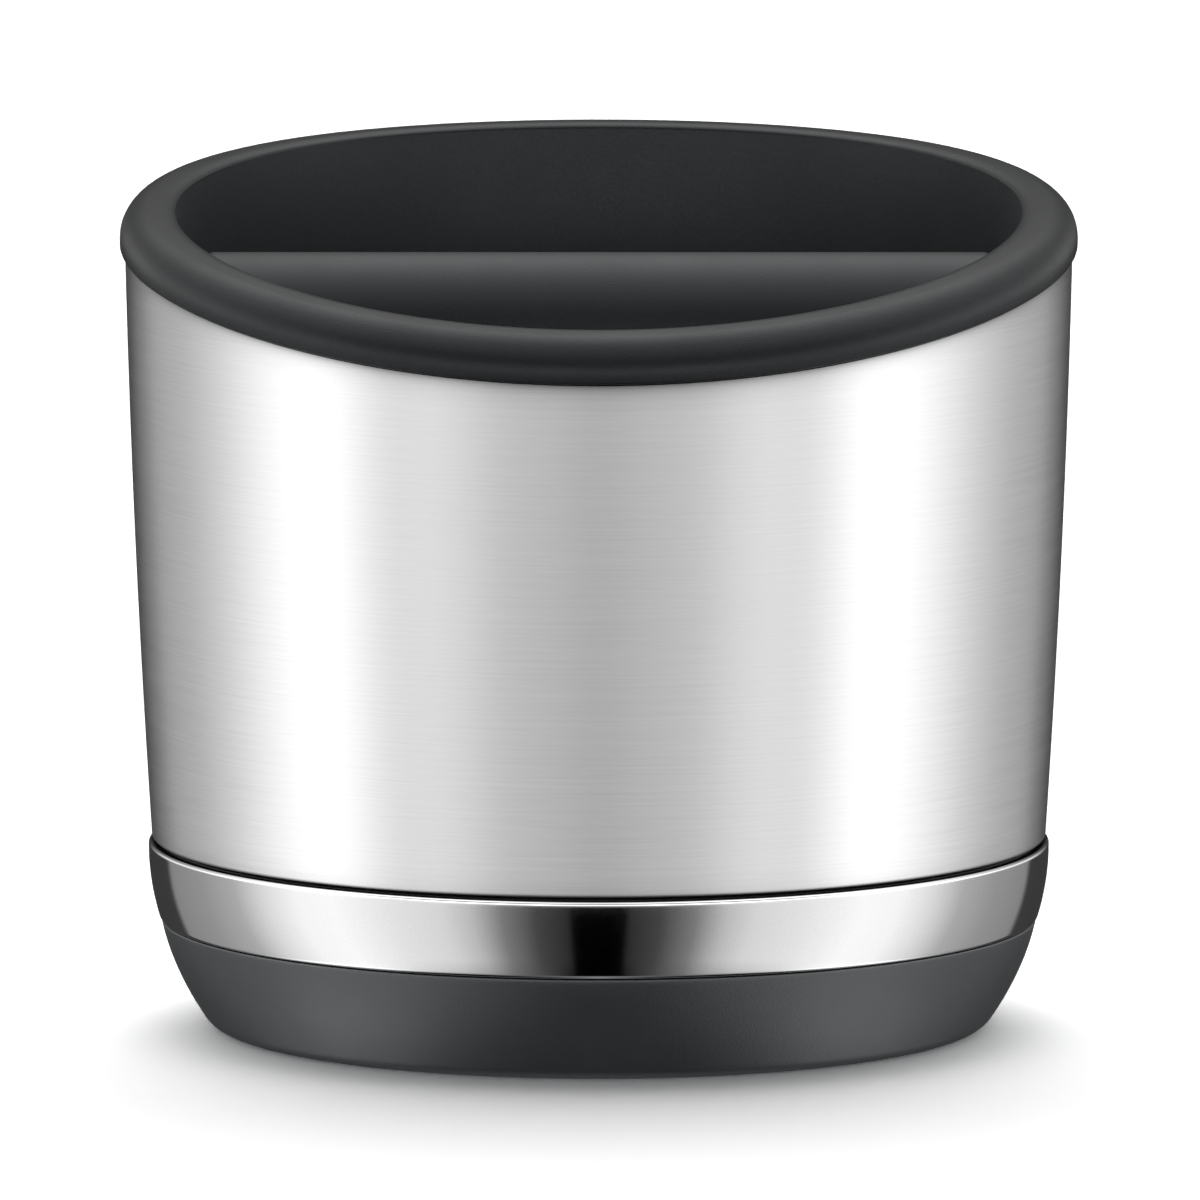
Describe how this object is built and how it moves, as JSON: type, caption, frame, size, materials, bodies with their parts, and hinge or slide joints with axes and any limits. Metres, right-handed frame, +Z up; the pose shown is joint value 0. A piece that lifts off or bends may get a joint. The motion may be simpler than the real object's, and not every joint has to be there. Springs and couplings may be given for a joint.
{
  "type": "espresso knock box",
  "caption": "Round steel bin with a slanted rubber rim and a lift-out, rubber-covered knock bar, for emptying spent coffee pucks; stands on a non-slip rubber base.",
  "frame": {"origin": "middle of the base, on the plane that the box stands on", "axes": "+Z up, +X along the knock bar to the right as seen from the low front edge, +Y towards the high back edge"},
  "size_m": [0.124, 0.124, 0.1116],
  "materials": {
    "rim_rubber": "satin dark grey",
    "bar_rubber": "satin dark grey",
    "base_rubber": "satin slate grey",
    "black_rubber": "matte black",
    "black_plastic": "fine moulded texture",
    "liner_plastic": "fine moulded texture",
    "brushed_steel": "brushed round the body",
    "polished_steel": "polished",
    "rod_steel": "turned",
    "screw_steel": "plain"
  },
  "bodies": {
    "bin": {"rim_bumper": "rim_rubber", "steel_shell": "brushed_steel", "shell_gasket": "black_rubber", "trim_ring": "polished_steel", "base_boot": "base_rubber", "base_carrier": "black_plastic", "carrier_screw_1": "screw_steel", "carrier_screw_2": "screw_steel", "carrier_screw_3": "screw_steel", "carrier_screw_4": "screw_steel", "inner_liner": "liner_plastic"},
    "bar_bearings": {"bush_right": "black_plastic", "bush_left": "black_plastic"},
    "knock_bar": {"bar_rod": "rod_steel", "bar_sleeve": "bar_rubber", "end_washer_right": "screw_steel", "end_washer_left": "screw_steel", "end_screw_right": "screw_steel", "end_screw_left": "screw_steel"}
  },
  "joints": [
    {"name": "bar_lift", "type": "slide", "parent": "bin", "child": "bar_bearings", "axis": [0, 0, 1], "range_m": [0, 0.045]},
    {"name": "bar_turn", "type": "hinge", "parent": "bar_bearings", "child": "knock_bar", "pos_m": [0, 0, 0.0898], "axis": [1, 0, 0], "continuous": true}
  ]
}
